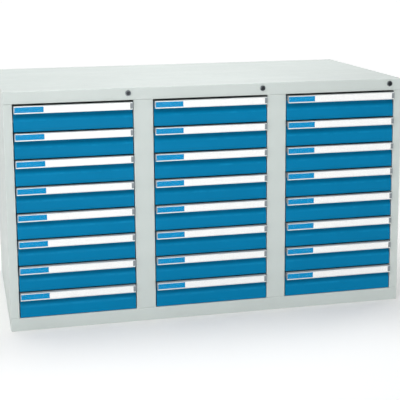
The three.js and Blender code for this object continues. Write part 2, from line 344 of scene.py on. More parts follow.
plug_dark = metal("plug_dark", srgb(46, 48, 51), 0.3)
bezel_dark = metal("bezel_dark", srgb(68, 72, 75), 0.24, turned=0.3)
ring_metal = metal("ring_metal", srgb(142, 147, 150), 0.24, turned=0.3)
# painted shade: the walls and floor of the key slot are near black, standing in for the shade inside the slot
keyway = moulded("keyway", srgb(14, 14, 16), 0.6, 0.1)


# ---------------------------------------------------------------- mesh helpers
def mesh_of(name, verts, faces, materials=None):
    """verts in millimetres about the piece's own origin."""
    me = bpy.data.meshes.new(name)
    me.from_pydata([(v[0] * 0.001, v[1] * 0.001, v[2] * 0.001) for v in verts], [], faces)
    if materials:
        me.polygons.foreach_set("material_index", materials)
    me.validate()
    me.update()
    return me


def weld(verts, faces, marks=None):
    """Joins vertices that are at the same place."""
    seen, order, out = {}, [], []
    for v in verts:
        key = tuple(round(c, 4) for c in v)
        if key not in seen:
            seen[key] = len(out)
            out.append(v)
        order.append(seen[key])
    return out, [[order[i] for i in f] for f in faces]


def turned_out(me, inside):
    """Turns every face of one connected shell away from the point inside it, by the vote of all its faces."""
    bm = bmesh.new()
    bm.from_mesh(me)
    bmesh.ops.recalc_face_normals(bm, faces=bm.faces)
    c = Vector(inside) * 0.001
    vote = sum(f.calc_area() * (1 if (f.calc_center_median() - c).dot(f.normal) > 0 else -1) for f in bm.faces)
    if vote < 0:
        bmesh.ops.reverse_faces(bm, faces=bm.faces)
    bm.to_mesh(me)
    bm.free()


def settle(me, modifiers, smooth=38.0, flat=6.0):
    """Runs modifiers on a mesh and returns the result, shaded, with the faces of its folds marked in an attribute called bend."""
    ob = bpy.data.objects.new("temp", me)
    scene.collection.objects.link(ob)
    before = [f.normal.copy() for f in me.polygons]
    for kind, values in modifiers:
        m = ob.modifiers.new(kind, kind)
        for k, v in values.items():
            setattr(m, k, v)
    bpy.context.view_layer.update()
    done = bpy.data.meshes.new_from_object(ob.evaluated_get(bpy.context.evaluated_depsgraph_get()))
    bpy.data.objects.remove(ob)
    name = me.name
    bpy.data.meshes.remove(me)
    done.name = name
    bm = bmesh.new()
    bm.from_mesh(done)
    bmesh.ops.dissolve_degenerate(bm, edges=bm.edges, dist=2e-6)
    bm.to_mesh(done)
    bm.free()
    limit = math.cos(math.radians(flat))
    kinds = []
    for n in before:
        if not any(n.dot(k) > 0.9999 for k in kinds):
            kinds.append(n)
    bend = [0.0 if any(abs(f.normal.dot(k)) > limit for k in kinds) else 1.0 for f in done.polygons]
    a = done.attributes.new("bend", "FLOAT", "FACE")
    a.data.foreach_set("value", bend)
    done.polygons.foreach_set("use_smooth", [True] * len(done.polygons))
    done.set_sharp_from_angle(angle=math.radians(smooth))
    for extra in ("bevel_weight_edge", "crease_edge"):
        if extra in done.attributes:
            done.attributes.remove(done.attributes[extra])
    done.update()
    return done


def weigh(me, rule, widest):
    """Sets each fold's radius: rule(middle of the edge in mm, edge direction, angle) gives millimetres."""
    bm = bmesh.new()
    bm.from_mesh(me)
    layer = bm.edges.layers.float.get("bevel_weight_edge") or bm.edges.layers.float.new("bevel_weight_edge")
    for e in bm.edges:
        if len(e.link_faces) != 2:
            continue
        angle = math.degrees(e.link_faces[0].normal.angle(e.link_faces[1].normal, 0.0))
        if angle < 3:
            continue
        mid = (e.verts[0].co + e.verts[1].co) * 500.0
        way = (e.verts[1].co - e.verts[0].co).normalized()
        e[layer] = min(1.0, rule(mid, way, angle) / widest)
    bm.to_mesh(me)
    bm.free()


def bevelled(widest, segments=3):
    return (
        "BEVEL",
        dict(width=widest * 0.001, segments=segments, limit_method="WEIGHT", profile=0.5, use_clamp_overlap=True, miter_outer="MITER_ARC"),
    )


def thick(t):
    return ("SOLIDIFY", dict(thickness=t * 0.001, offset=-1.0, use_even_offset=True, use_quality_normals=False))


def add(name, me, body, materials, at=(0.0, 0.0, 0.0), replaces=(), weighted=True):
    """A piece, at a place in millimetres, riding on a body."""
    ob = bpy.data.objects.new(name, me)
    scene.collection.objects.link(ob)
    ob.location = place(*at)
    if not me.materials:
        for m in materials if isinstance(materials, (list, tuple)) else [materials]:
            me.materials.append(m)
    if weighted:
        w = ob.modifiers.new("flat_faces", "WEIGHTED_NORMAL")
        w.keep_sharp = True
        w.weight = 60
    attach(ob, body)
    if replaces:
        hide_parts(*replaces)
    return ob


def sweep_frame(profile, hx0, hx1, y0, y1):
    """A profile of (inset, z) points carried round a rectangle, corner to corner."""
    verts, faces = [], []
    for inset, z in profile:
        verts += [
            (hx0 + inset, y0 + inset, z),
            (hx1 - inset, y0 + inset, z),
            (hx1 - inset, y1 - inset, z),
            (hx0 + inset, y1 - inset, z),
        ]
    for i in range(len(profile) - 1):
        for k in range(4):
            a, b = i * 4 + k, i * 4 + (k + 1) % 4
            faces.append([a, b, b + 4, a + 4])
    return verts, faces


def sweep_x(section, x0, x1, closed=False):
    """A section of (y, z) points carried along x."""
    verts = [(x, y, z) for x in (x0, x1) for y, z in section]
    n = len(section)
    faces = [[i, (i + 1) % n, n + (i + 1) % n, n + i] for i in range(n if closed else n - 1)]
    if closed:
        faces += [list(range(n))[::-1], list(range(n, 2 * n))]
    return verts, faces


def sweep_y(section, y0, y1, closed=False):
    """A section of (x, z) points carried along y."""
    verts = [(x, y, z) for y in (y0, y1) for x, z in section]
    n = len(section)
    faces = [[i, (i + 1) % n, n + (i + 1) % n, n + i] for i in range(n if closed else n - 1)]
    if closed:
        faces += [list(range(n))[::-1], list(range(n, 2 * n))]
    return verts, faces


def rounded(points, segments=4):
    """A closed outline whose corners are (u, v, radius), as plain points."""
    out = []
    n = len(points)
    for i in range(n):
        u, v, r = points[i]
        p = Vector((u, v))
        a = Vector(points[i - 1][:2]) - p
        b = Vector(points[(i + 1) % n][:2]) - p
        if r <= 0:
            out.append((u, v))
            continue
        half = a.angle(b) / 2
        cut = min(r / math.tan(half), a.length * 0.49, b.length * 0.49)
        r = cut * math.tan(half)
        s, e = p + a.normalized() * cut, p + b.normalized() * cut
        c = p + (a.normalized() + b.normalized()).normalized() * (r / math.sin(half))
        s0, e0 = s - c, e - c
        t0 = math.atan2(s0.y, s0.x)
        turn = math.atan2(s0.x * e0.y - s0.y * e0.x, s0.dot(e0))
        for k in range(segments + 1):
            t = t0 + turn * k / segments
            out.append((c.x + r * math.cos(t), c.y + r * math.sin(t)))
    return out


def lathe(profile, segments=48, axis="Y"):
    """A closed profile of (along, radius) points turned round an axis."""
    verts, faces = [], []
    n = len(profile)
    for s in range(segments):
        t = 2 * math.pi * s / segments
        for along, r in profile:
            if axis == "Y":
                verts.append((r * math.cos(t), along, r * math.sin(t)))
            else:
                verts.append((along, r * math.cos(t), r * math.sin(t)))
    for s in range(segments):
        q = (s + 1) % segments
        for i in range(n):
            j = (i + 1) % n
            faces.append([s * n + i, s * n + j, q * n + j, q * n + i])
    return verts, faces


def shells_out(bm):
    """Turns each closed shell of a mesh so that its faces look outwards."""
    todo = set(bm.faces)
    while todo:
        first = todo.pop()
        shell, edge_of = [first], [first]
        while edge_of:
            f = edge_of.pop()
            for e in f.edges:
                for g in e.link_faces:
                    if g in todo:
                        todo.discard(g)
                        shell.append(g)
                        edge_of.append(g)
        volume = 0.0
        for f in shell:
            p = [v.co for v in f.verts]
            for i in range(1, len(p) - 1):
                volume += p[0].dot(p[i].cross(p[i + 1]))
        if volume < 0:
            bmesh.ops.reverse_faces(bm, faces=shell)


def closed_up(me):
    """Removes doubled points, faces without area and loose edges, and turns the faces out."""
    bm = bmesh.new()
    bm.from_mesh(me)
    bmesh.ops.remove_doubles(bm, verts=bm.verts, dist=1e-6)
    bmesh.ops.dissolve_degenerate(bm, edges=bm.edges, dist=1e-7)
    wires = [e for e in bm.edges if not e.link_faces]
    bmesh.ops.delete(bm, geom=wires, context="EDGES")
    bmesh.ops.recalc_face_normals(bm, faces=bm.faces)
    shells_out(bm)
    bm.to_mesh(me)
    bm.free()


def cut(me, cutters):
    """me with closed meshes taken out of it."""
    ob = bpy.data.objects.new("temp", me)
    scene.collection.objects.link(ob)
    made = []
    for c in cutters:
        k = bpy.data.objects.new("cutter", c)
        scene.collection.objects.link(k)
        made.append(k)
        m = ob.modifiers.new("cut", "BOOLEAN")
        m.operation, m.object, m.solver = "DIFFERENCE", k, "EXACT"
    bpy.context.view_layer.update()
    done = bpy.data.meshes.new_from_object(ob.evaluated_get(bpy.context.evaluated_depsgraph_get()))
    done.name = me.name
    bpy.data.objects.remove(ob)
    for k in made:
        d = k.data
        bpy.data.objects.remove(k)
        bpy.data.meshes.remove(d)
    bpy.data.meshes.remove(me)
    bm = bmesh.new()
    bm.from_mesh(done)
    shells_out(bm)
    bm.to_mesh(done)
    bm.free()
    return done


def joined(parts):
    """Several (verts, faces) as one."""
    verts, faces = [], []
    for v, f in parts:
        n = len(verts)
        verts += list(v)
        faces += [[i + n for i in p] for p in f]
    return verts, faces


# ---------------------------------------------------------------- camera
# Solved from the edges of the cabinet in the photograph.
CAMERA = dict(
    at=(-0.92189, -4.14301, 1.37061),
    axes=(
        (0.973365, -0.229162, -0.006733),
        (-0.045346, -0.163650, -0.985476),
        (0.224732, 0.959533, -0.169682),
    ),
    lens=93.408,
    shift=-0.1600,
)


# ---------------------------------------------------------------- housing
def box_shell(name, x0, x1, y0, y1, z0, z1, hem, radius, t, hole=()):
    """The top cover: a lid with folded edges and an inward hem."""
    verts, faces = sweep_frame([(0, z1), (0, z0), (hem, z0)], x0, x1, y0, y1)
    faces.append([0, 3, 2, 1])
    me = mesh_of(name, verts, faces)
    turned_out(me, ((x0 + x1) / 2, (y0 + y1) / 2, (z0 + z1) / 2))
    weigh(me, lambda mid, way, angle: radius if mid.z > (z0 + z1) / 2 - 1 else 1.6, radius)
    return settle(me, [bevelled(radius, 4), thick(t)])


cover = box_shell("top_cover_shell", -HALF, HALF, -0.0, DEPTH, OPEN_TOP, HEIGHT, 15.0, 3.2, 1.5)
cutters = []
for x in lock_x:
    v, f = lathe([(-6.0, 0.0001), (-6.0, 10.6), (8.0, 10.6), (8.0, 0.0001)], 48)
    c = mesh_of("cutter", [(a + x, b, d + LOCK_Z) for a, b, d in v], f)
    closed_up(c)
    cutters.append(c)
cover = cut(cover, cutters)
cover.set_sharp_from_angle(angle=math.radians(38))
add("top_cover_shell", cover, "housing", housing_paint, at=(0, 0, 0), replaces=["top_cover"])


def wall_shell(name, half, depth, z0, z1, radius):
    """A double-skinned wall: one folded sleeve, its four upright edges rounded, the front pair seen as a stile."""
    section = [(-half, 0.0), (half, 0.0), (half, depth), (-half, depth)]
    verts = [(x, y, z) for z in (z0, z1) for x, y in section]
    faces = [[i, (i + 1) % 4, 4 + (i + 1) % 4, 4 + i] for i in range(4)]
    # a short inward lip at head and foot
    lip = 8.0
    for z, o in ((z0, 0), (z1, 4)):
        n = len(verts)
        verts += [
            (-half + lip, lip, z),
            (half - lip, lip, z),
            (half - lip, depth - lip, z),
            (-half + lip, depth - lip, z),
        ]
        faces += [[o + i, o + (i + 1) % 4, n + (i + 1) % 4, n + i] for i in range(4)]
    me = mesh_of(name, verts, faces)
    turned_out(me, (0, depth / 2, (z0 + z1) / 2))
    weigh(me, lambda mid, way, angle: radius if abs(way.z) > 0.9 else 0.9, radius)
    return settle(me, [bevelled(radius, 4), thick(1.5)])


FOOT, HEAD = BASE_H + 0.3, OPEN_TOP - 0.3
side_mesh = wall_shell("side_skin", SIDE_T / 2, DEPTH, FOOT, HEAD, 2.2)
for name, x in (("left_side_skin", -HALF + SIDE_T / 2), ("right_side_skin", HALF - SIDE_T / 2)):
    add(name, side_mesh, "housing", housing_paint, at=(x, 0, 0), replaces=[name.replace("_skin", "")])
partition_mesh = wall_shell("partition_skin", PARTITION_T / 2, DEPTH - 15.3, FOOT, HEAD, 2.2)
for name, x in (("partition_left", -258.0), ("partition_right", 258.0)):
    add(name + "_skin", partition_mesh, "housing", housing_paint, at=(x, 0, 0), replaces=[name])

# Base frame: folded channel, web outwards.
verts, faces = sweep_frame([(30.0, BASE_H), (0, BASE_H), (0, 0), (30.0, 0)], -HALF, HALF, 0.0, DEPTH)
base = mesh_of("base_channel", verts, faces)
turned_out(base, (0, DEPTH / 2, BASE_H / 2))
weigh(base, lambda mid, way, angle: 2.4, 2.4)
base = settle(base, [bevelled(2.4, 4), thick(1.5)])
add("base_channel", base, "housing", housing_paint, replaces=["base_frame"])

# Back panel: three pans that meet behind the partitions, each with its rim
# folded forward and a shallow pressed panel, fixed with flush screws.
BX = HALF - SIDE_T - 0.4
SEAM = 258.0


def back_pan(x0, x1):
    """One sheet of the back: flat border, pressed panel 2.2 mm deep, rim folded forward."""
    e, b = 34.0, 40.0
    y = DEPTH - 0.8
    levels = [(0.0, DEPTH - 15.0), (0.0, y), (e, y), (b, y - 2.2)]
    verts, faces = [], []
    for d, yy in levels:
        verts += [(x0 + d, yy, FOOT + d), (x1 - d, yy, FOOT + d), (x1 - d, yy, HEAD - d), (x0 + d, yy, HEAD - d)]
    for i in range(len(levels) - 1):
        for k in range(4):
            a, c = i * 4 + k, i * 4 + (k + 1) % 4
            faces.append([a, c, c + 4, a + 4])
    n = 4 * (len(levels) - 1)
    faces.append([n, n + 1, n + 2, n + 3])
    me = mesh_of("back_pan", verts, faces)
    turned_out(me, ((x0 + x1) / 2, DEPTH - 7.5, 450))

    def radius(mid, way, angle):
        if mid.y < y - 3:
            return 2.0
        if abs(mid.y - y) < 0.3 and min(mid.x - x0, x1 - mid.x, mid.z - FOOT, HEAD - mid.z) < 1.0:
            return 2.0
        return 3.0

    weigh(me, radius, 3.0)
    me = settle(me, [bevelled(3.0, 4), thick(1.5)], flat=3)
    # the rim rubs bare, the pressed panel doesn't
    rub = me.attributes["bend"]
    for f in me.polygons:
        c = f.center * 1000.0
        if min(c.x - x0, x1 - c.x, c.z - FOOT, HEAD - c.z) > 10.0:
            rub.data[f.index].value = 0.0
    return me


bm = bmesh.new()
for x0, x1 in ((-BX, -SEAM - 0.9), (-SEAM + 0.9, SEAM - 0.9), (SEAM + 0.9, BX)):
    sheet = back_pan(x0, x1)
    bm.from_mesh(sheet)
    bpy.data.meshes.remove(sheet)
pan = bpy.data.meshes.new("back_pan")
bm.to_mesh(pan)
bm.free()
pan.polygons.foreach_set("use_smooth", [True] * len(pan.polygons))
pan.set_sharp_from_angle(angle=math.radians(38))
add("back_pan", pan, "housing", housing_paint, replaces=["back_panel"])

# Floor panel: a sheet with rounded rim, stiffened by two long pressed beads.
lo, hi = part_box("floor_panel")
fx, fy0, fy1 = hi.x * 1000.0, lo.y * 1000.0 + MID_Y, hi.y * 1000.0 + MID_Y
fz0, fz1 = lo.z * 1000.0, hi.z * 1000.0
ys = [fy0]
for m in (fy0 + 180.0, fy1 - 180.0):
    ys += [m - 16.0, m - 11.0, m + 11.0, m + 16.0]
ys.append(fy1)
depth = [0, 0, 1, 1, 0, 0, 1, 1, 0, 0]
verts = [(x, y, fz1 - 0.55 * (fz1 - fz0) * d) for x in (-fx, fx) for y, d in zip(ys, depth)]
verts += [(x, y, fz0) for x in (-fx, fx) for y in (fy0, fy1)]
n = len(ys)
faces = [[i, n + i, n + i + 1, i + 1] for i in range(n - 1)]
faces += [[2 * n, 2 * n + 1, 2 * n + 3, 2 * n + 2], list(range(n)) + [2 * n + 1, 2 * n]]
faces += [list(range(n, 2 * n)) + [2 * n + 3, 2 * n + 2], [0, n, 2 * n + 2, 2 * n], [n - 1, 2 * n - 1, 2 * n + 3, 2 * n + 1]]
sheet = mesh_of("floor_sheet", verts, faces)
turned_out(sheet, (0, (fy0 + fy1) / 2, (fz0 + fz1) / 2 - 0.2))
weigh(sheet, lambda mid, way, angle: 0.4, 0.4)
sheet = settle(sheet, [bevelled(0.4, 2)])
add("floor_sheet", sheet, "housing", inner_paint, replaces=["floor_panel"])


def screw(x, z):
    """A flush cross-recess screw head, seen from the back, 9 mm wide."""
    parts = []
    v, f = lathe([(-1.4, 0.0001), (-1.4, 2.6), (-0.5, 4.5), (-0.18, 4.6), (0.0, 4.2), (0.0, 2.4), (-0.12, 2.2), (-0.12, 0.0001)], 24)
    parts.append(([(a + x, b + DEPTH - 0.02, c + z) for a, b, c in v], f))
    return joined(parts)


spots = [(x, z) for z in (FOOT + 15, HEAD - 15) for x in (-497, -86, 86, 497)]
spots += [(x, z) for x in (-720, -275, -241, 241, 275, 720) for z in (FOOT + 15, 259, 452, 645, HEAD - 15)]
verts, faces = joined([screw(x, z) for x, z in spots])
heads = mesh_of("back_screws", verts, faces)
closed_up(heads)
crosses = []
for x, z in spots:
    for w, h in ((3.4, 0.7), (0.7, 3.4)):
        section = [(x - w / 2, z - h / 2), (x + w / 2, z - h / 2), (x + w / 2, z + h / 2), (x - w / 2, z + h / 2)]
        crosses.append(sweep_y(section, DEPTH - 0.9, DEPTH + 1.0, closed=True))
verts, faces = joined(crosses)
# the two bars of each cross overlap, so they are cut one after the other
for k in (0, 1):
    v, f = joined(crosses[k::2])
    tool = mesh_of("cutter", v, f)
    closed_up(tool)
    heads = cut(heads, [tool])
heads = settle(heads, [], flat=8)
add("back_screws", heads, "housing", zinc)


# ---------------------------------------------------------------- runners
def runner(side):
    """One wall's runners: a C channel for each row, with its lower flange cut short at the front to make room for a roller. side is +1 where the drawers are to the right of the wall."""
    parts = []
    for r in range(8):
        z = row_z[r]
        top, foot = z - 46.5, z - 58.0
        s = side
        parts.append(sweep_y([(s * 12.0, top), (0.2 * s, top), (0.2 * s, foot), (s * 12.0, foot)], 36.0, 745.0))
        parts.append(sweep_y([(s * 12.0, top), (0.2 * s, top), (0.2 * s, foot - 6.0)], 20.0, 35.6))
    out = []
    for v, f in parts:
        out.append((v, f if side < 0 else [p[::-1] for p in f]))
    return joined(out)


def shell_from(name, parts, radius, t, flat=6.0):
    verts, faces = parts
    me = mesh_of(name, verts, faces)
    weigh(me, lambda mid, way, angle: radius, radius)
    return settle(me, [bevelled(radius, 3), thick(t)], flat=flat)


# In both meshes the outer side of the channel faces away from its hollow.
runner_right = shell_from("runner_right", runner(1), 1.7, 1.4)
runner_left = shell_from("runner_left", runner(-1), 1.7, 1.4)
walls = [
    ("left_side", -HALF + SIDE_T, 1),
    ("partition_left_a", -258.0 - 37.0, -1),
    ("partition_left_b", -258.0 + 37.0, 1),
    ("partition_right_a", 258.0 - 37.0, -1),
    ("partition_right_b", 258.0 + 37.0, 1),
    ("right_side", HALF - SIDE_T, -1),
]
for name, x, s in walls:
    add("runners_" + name, runner_right if s > 0 else runner_left, "housing", zinc, at=(x, 0, 0))

wheel_profile = rounded([(2.2, 1.0, 0), (2.2, 4.0, 0.5), (9.6, 4.0, 0.5), (9.6, 1.0, 0)], 3)
pin_profile = [(0.4, 0.0001), (0.4, 1.6), (1.6, 1.6), (1.6, 0.98), (9.8, 0.98), (9.8, 1.7), (10.3, 1.5), (10.5, 0.0001)]
for side, tag in ((1, "right"), (-1, "left")):
    wheels, pins = [], []
    for r in range(8):
        for profile, into in ((wheel_profile, wheels), (pin_profile, pins)):
            v, f = lathe(profile, 24, "X")
            into.append(([(a * side, b + 28.0, c + row_z[r] - 60.1) for a, b, c in v], f))
    verts, faces = joined(wheels)
    w = mesh_of("rollers_" + tag, verts, faces)
    closed_up(w)
    w = settle(w, [], smooth=50, flat=3)
    verts, faces = joined(pins)
    p = mesh_of("pins_" + tag, verts, faces)
    closed_up(p)
    p = settle(p, [], smooth=50, flat=3)
    for name, x, s in walls:
        if s == side:
            add("rollers_" + name, w, "housing", nylon, at=(x, 0, 0))
            add("roller_pins_" + name, p, "housing", zinc, at=(x, 0, 0))


# ---------------------------------------------------------------- locks
bezel_profile = rounded(
    [(-4.0, 8.5, 0.3), (-4.0, 10.3, 0.9), (-0.9, 11.0, 0.3), (0.0, 11.0, 0), (0.0, 10.5, 0), (24.0, 10.5, 0.4), (24.0, 8.3, 0.3)],
    4,
)
verts, faces = lathe(bezel_profile, 56)
bezel = mesh_of("lock_bezel", verts, faces)
closed_up(bezel)
bezel = settle(bezel, [], smooth=40, flat=3)

head_profile = rounded(
    [(-5.9, 0.0001, 0), (-5.9, 5.9, 0.25), (-6.45, 6.3, 0.3), (-6.45, 8.2, 0.6), (-5.6, 9.2, 0.5), (-4.3, 9.2, 0.3), (-4.3, 8.0, 0), (26.0, 8.0, 0.5), (26.0, 0.0001, 0)],
    4,
)
verts, faces = lathe(head_profile, 56)
plug = mesh_of("lock_plug", verts, faces)
closed_up(plug)
slot_section = rounded([(-0.85, -4.4, 0.4), (0.85, -4.4, 0.4), (0.85, 4.4, 0.4), (-0.85, 4.4, 0.4)], 3)
v, f = sweep_y(slot_section, -9.0, -1.5, closed=True)
tool = mesh_of("cutter", v, f)
closed_up(tool)
plug.materials.append(bezel_dark)
plug.materials.append(plug_dark)
plug.materials.append(keyway)
plug = cut(plug, [tool])
# faces inside the key slot take index 2, the near-black painted shade; the plug's face takes index 1, the rest index 0
for poly in plug.polygons:
    c = poly.center * 1000
    rad = math.hypot(c.x, c.z)
    if abs(c.x) < 0.95 and abs(c.z) < 4.6 and c.y > -5.85:
        poly.material_index = 2 if rad < 5 and c.y < 5 else 0
    elif c.y < -5.7 and rad < 6.0:
        poly.material_index = 1
    else:
        poly.material_index = 0
plug = settle(plug, [], smooth=40, flat=3)
cam_outline = rounded([(-5.0, -6.0, 2.5), (5.0, -6.0, 2.5), (5.0, 16.4, 3.0), (-5.0, 16.4, 3.0)], 4)
v, f = sweep_y(cam_outline, 25.2, 27.4, closed=True)
cam = mesh_of("lock_cam", v, f)
closed_up(cam)
weigh(cam, lambda mid, way, angle: 0.4 if abs(way.y) < 0.5 else 0.0, 0.4)
cam = settle(cam, [bevelled(0.4, 2)], smooth=40, flat=3)
for letter, x in zip(COLUMNS, lock_x):
    add("lock_bezel_" + letter, bezel, "housing", ring_metal, at=(x, 0, LOCK_Z))
    add("lock_plug_" + letter, plug, "lock_" + letter, None, at=(x, 0, LOCK_Z), replaces=["lock_" + letter])
    add("lock_cam_" + letter, cam, "lock_" + letter, zinc, at=(x, 0, LOCK_Z))


# ---------------------------------------------------------------- drawers
def drawer_front():
    """The folded front: four edges folded back and returned, leaning back under the handle rail."""
    outline = [(16.0, -2.0), (6.0, -2.0), (6.0, -36.0), (-2.0, -54.0), (-2.0, -96.0), (16.0, -96.0)]
    verts = [(x, y, z) for x in (-FRONT_HALF, FRONT_HALF) for y, z in outline]
    n = len(outline)
    faces = [[i, i + 1, n + i + 1, n + i] for i in range(n - 1)]
    faces += [list(range(n)), list(range(n, 2 * n))[::-1]]
    # returns round the open back
    k = len(verts)
    verts += [(-209.5, 16.0, -10.5), (209.5, 16.0, -10.5), (209.5, 16.0, -91.3), (-209.5, 16.0, -91.3)]
    a, b, c, d = 0, n, 2 * n - 1, n - 1
    faces += [[a, b, k + 1, k], [b, c, k + 2, k + 1], [c, d, k + 3, k + 2], [d, a, k, k + 3]]
    me = mesh_of("drawer_front", verts, faces)
    turned_out(me, (0, 8, -60))

    def radius(mid, way, angle):
        if abs(way.x) > 0.9 and -56 < mid.z < -34 and mid.y < 10:
            return 7.0
        return 2.0

    weigh(me, radius, 7.0)
    me = settle(me, [bevelled(7.0, 4), thick(1.5)])
    # the head of the hollow for the fingers, marked grip from 0 at the foot to 1 at the top, where the paint gets
    # painted shade for the handle rail's shadow
    grip = []
    for v in me.vertices:
        y, z = v.co.y * 1000.0, v.co.z * 1000.0
        grip.append(max(0.0, min(1.0, (z + 49.0) / 9.5)) if y < 8.0 and z < -3.0 else 0.0)
    a = me.attributes.new("grip", "FLOAT", "POINT")
    a.data.foreach_set("value", grip)
    return me


front_mesh = drawer_front()


def slotted(u0, u1, z0, z1, count, width, s0, s1, make):
    """An upright panel from u0 to u1 with a row of upright slots, as quads; make(u, z) places a point."""
    pitch = (u1 - u0) / count
    us = [u0]
    holes = set()
    for i in range(count):
        m = u0 + pitch * (i + 0.5)
        us += [m - width / 2, m + width / 2]
        holes.add(len(us) - 2)
    us.append(u1)
    zs = [z0, s0, s1, z1]
    verts = [make(u, z) for z in zs for u in us]
    n = len(us)
    faces = []
    for j in range(3):
        for i in range(n - 1):
            if j == 1 and i in holes:
                continue
            faces.append([j * n + i, j * n + i + 1, (j + 1) * n + i + 1, (j + 1) * n + i])
    return verts, faces


def drawer_tray():
    """The tray: slotted walls with a hem along the rim, and a runner strip outside each side wall."""
    x, y0, y1 = TRAY_HALF, 16.05, 740.0
    zb, zt = -88.0, -12.0
    parts = []
    parts.append(slotted(y0, y1, zb, zt, 34, 2.6, -74.0, -26.0, lambda u, z: (-x, u, z)))
    parts.append(slotted(y0, y1, zb, zt, 34, 2.6, -74.0, -26.0, lambda u, z: (x, u, z)))
    parts.append(slotted(-x, x, zb, zt, 19, 2.6, -74.0, -26.0, lambda u, z: (u, y0, z)))
    parts.append(slotted(-x, x, zb, zt, 19, 2.6, -74.0, -26.0, lambda u, z: (u, y1, z)))

    def inset(p, d):
        a = max(-x + d, min(x - d, p[0]))
        b = max(y0 + d, min(y1 - d, p[1]))
        return a, b

    def band(ring, d0, za, d1, zc):
        """Quads between a ring drawn in by d0 at za and by d1 at zc."""
        n = len(ring)
        verts = [(*inset(p, d0), za) for p in ring] + [(*inset(p, d1), zc) for p in ring]
        faces = []
        for i in range(n):
            j = (i + 1) % n
            quad = [i, j, n + j, n + i]
            if len({tuple(round(c, 4) for c in verts[q]) for q in quad}) >= 3:
                faces.append(quad)
        return verts, faces

    # bottom: a border that meets every point of the walls' feet, round a
    # sheet pressed up by 1.6 mm
    ring = []
    for v, f in parts:
        ring += [p for p in v if abs(p[2] - zb) < 1e-6]
    ring = sorted(set(ring), key=lambda p: math.atan2(p[1] - 378.0, p[0]))
    parts.append(band(ring, 0.0, zb, 13.0, zb))
    parts.append(band(ring, 13.0, zb, 17.0, zb + 1.6))
    middle = []
    for p in ring:
        q = (*inset(p, 17.0), zb + 1.6)
        if not middle or q != middle[-1]:
            middle.append(q)
    if middle[0] == middle[-1]:
        middle.pop()
    parts.append((middle, [list(range(len(middle)))]))
    # hem: over and down inside
    ring = []
    for v, f in parts[:4]:
        ring += [p for p in v if abs(p[2] - zt) < 1e-6]
    ring = sorted(set(ring), key=lambda p: math.atan2(p[1] - 378.0, p[0]))
    parts.append(band(ring, 0.0, zt, 3.4, zt))
    parts.append(band(ring, 3.4, zt, 3.4, zt - 8.0))
    verts, faces = weld(*joined(parts))
    clean = []
    for f in faces:
        g = [v for i, v in enumerate(f) if v != f[i - 1]]
        if len(set(g)) >= 3:
            clean.append(g)
    me = mesh_of("drawer_tray", verts, clean)
    turned_out(me, (0, 378, -50))

    def radius(mid, way, angle):
        if abs(way.z) > 0.9:
            return 1.5
        return 1.4

    weigh(me, radius, 1.5)
    tray = settle(me, [bevelled(1.5, 2), thick(1.1)])
    # the strips
    strips = []
    for s in (-1, 1):
        sec = [(s * 206.6, -48.5), (s * 218.0, -48.5), (s * 218.0, -56.0)]
        v, f = sweep_y(sec, 18.5, 740.0)
        strips.append((v, f if s < 0 else [p[::-1] for p in f]))
    sv, sf = joined(strips)
    st = mesh_of("strips", sv, sf)
    bm = bmesh.new()
    bm.from_mesh(st)
    for face in bm.faces:
        out = Vector((1 if face.calc_center_median().x > 0 else -1, 0, 0)) if abs(face.normal.x) > 0.5 else Vector((0, 0, 1))
        if face.normal.dot(out) < 0:
            face.normal_flip()
    bm.to_mesh(st)
    bm.free()
    weigh(st, lambda mid, way, angle: 1.8, 1.8)
    st = settle(st, [bevelled(1.8, 3), thick(1.4)])
    bm = bmesh.new()
    bm.from_mesh(tray)
    bm.from_mesh(st)
    bm.to_mesh(tray)
    bm.free()
    tray.update()
    tray.set_sharp_from_angle(angle=math.radians(38))
    return tray


tray_mesh = drawer_tray()

# Handle rail: one extruded section with a label groove and two grip lines.
rail_outline = rounded(
    [
        (5.7, -18.0, 0.4),
        (5.7, -1.0, 0.8),
        (-4.0, -1.0, 0),
        (-4.3, -1.35, 0.1),
        (-5.3, -1.35, 0.1),
        (-5.6, -1.0, 0),
        (-7.6, -1.0, 0),
        (-7.9, -1.35, 0.1),
        (-8.9, -1.35, 0.1),
        (-9.2, -1.0, 0),
        (-16.0, -1.0, 1.05),
        (-16.0, -3.2, 0.2),
        (-15.1, -3.2, 0),
        (-15.1, -24.2, 0),
        (-16.0, -24.2, 0.3),
        (-16.0, -28.0, 1.7),
        (-11.7, -28.0, 0.5),
        (-11.7, -26.5, 0.5),
        (-13.3, -26.5, 0),
        (-13.3, -2.8, 1.2),
        (4.5, -2.8, 0.8),
        (4.5, -18.0, 0.4),
    ],
    4,
)
RAIL_END = 215.2
verts, faces = sweep_x(rail_outline, -RAIL_END, RAIL_END, closed=True)
rail_mesh = mesh_of("handle_rail", verts, faces)
closed_up(rail_mesh)
rail_mesh = settle(rail_mesh, [], smooth=32, flat=3)


def bent_slab(u0, u1, z0, z1, y_back, y_front, crown, rows=8):
    """A thin strip with a slight crown across its height."""
    front, back = [], []
    for i in range(rows + 1):
        t = i / rows
        z = z0 + (z1 - z0) * t
        y = y_front + crown * (2 * t - 1) ** 2
        front.append((y, z))
        back.append((y_back + min(0.0, 0.0), z))
    section = front + back[::-1]
    return sweep_x(section, u0, u1, closed=True)


